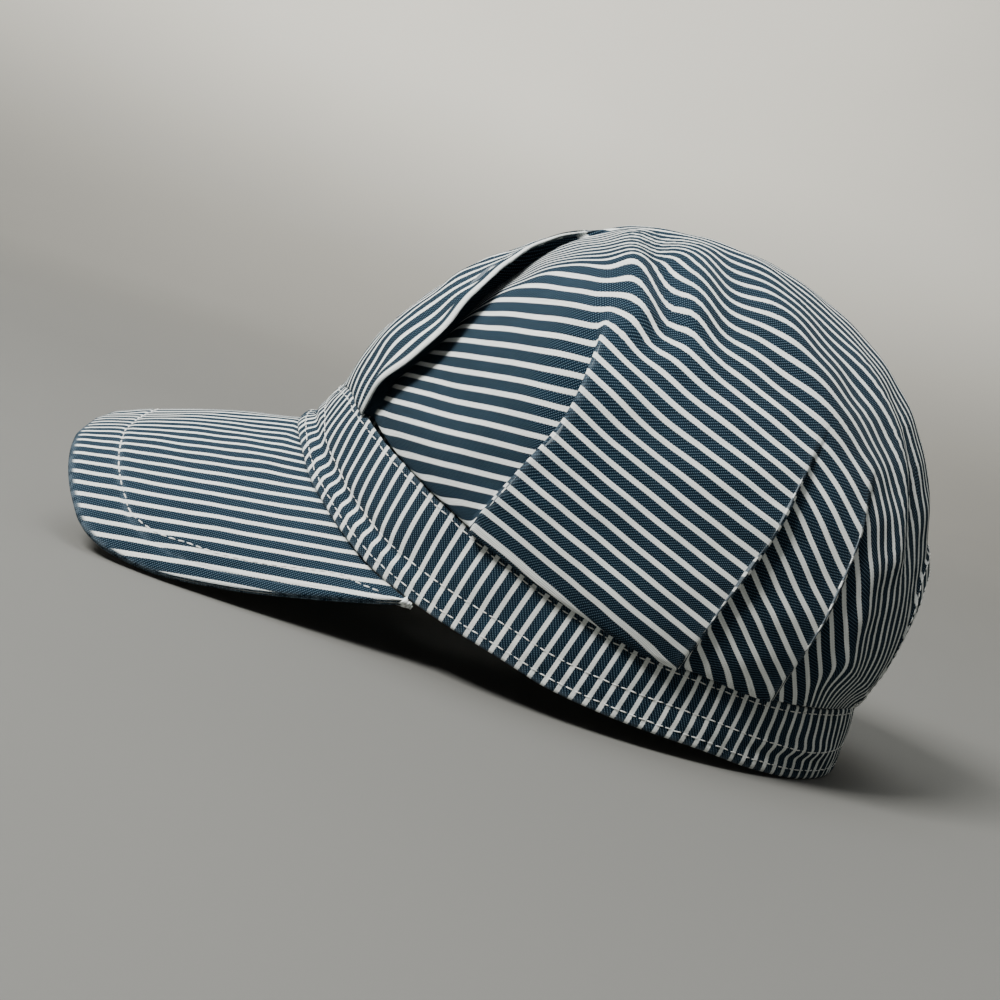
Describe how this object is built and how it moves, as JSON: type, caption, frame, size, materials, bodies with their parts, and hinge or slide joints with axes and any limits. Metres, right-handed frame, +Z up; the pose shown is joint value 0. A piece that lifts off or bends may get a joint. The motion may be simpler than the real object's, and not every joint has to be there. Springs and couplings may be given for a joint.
{
  "type": "railroad engineer cap",
  "caption": "Railroad engineer cap of blue and white striped denim: full pleated crown, broad band, arched two-layer brim, and an arched opening over the band at the back.",
  "frame": {"origin": "bottom centre of the cap's bounding box, on the surface that it rests on", "axes": "+Z up; the brim points along -Y; the wearer's left is +X"},
  "size_m": [0.1726, 0.2698, 0.1485],
  "materials": {
    "crown": "striped denim twill",
    "band": "striped denim twill, stripes upright",
    "brim_top": "striped denim twill, topstitched",
    "brim_underside": "striped denim twill, paler at the edge"
  },
  "bodies": {
    "root": {"crown": "crown", "band": "band", "brim_top": "brim_top", "brim_underside": "brim_underside"}
  },
  "joints": []
}
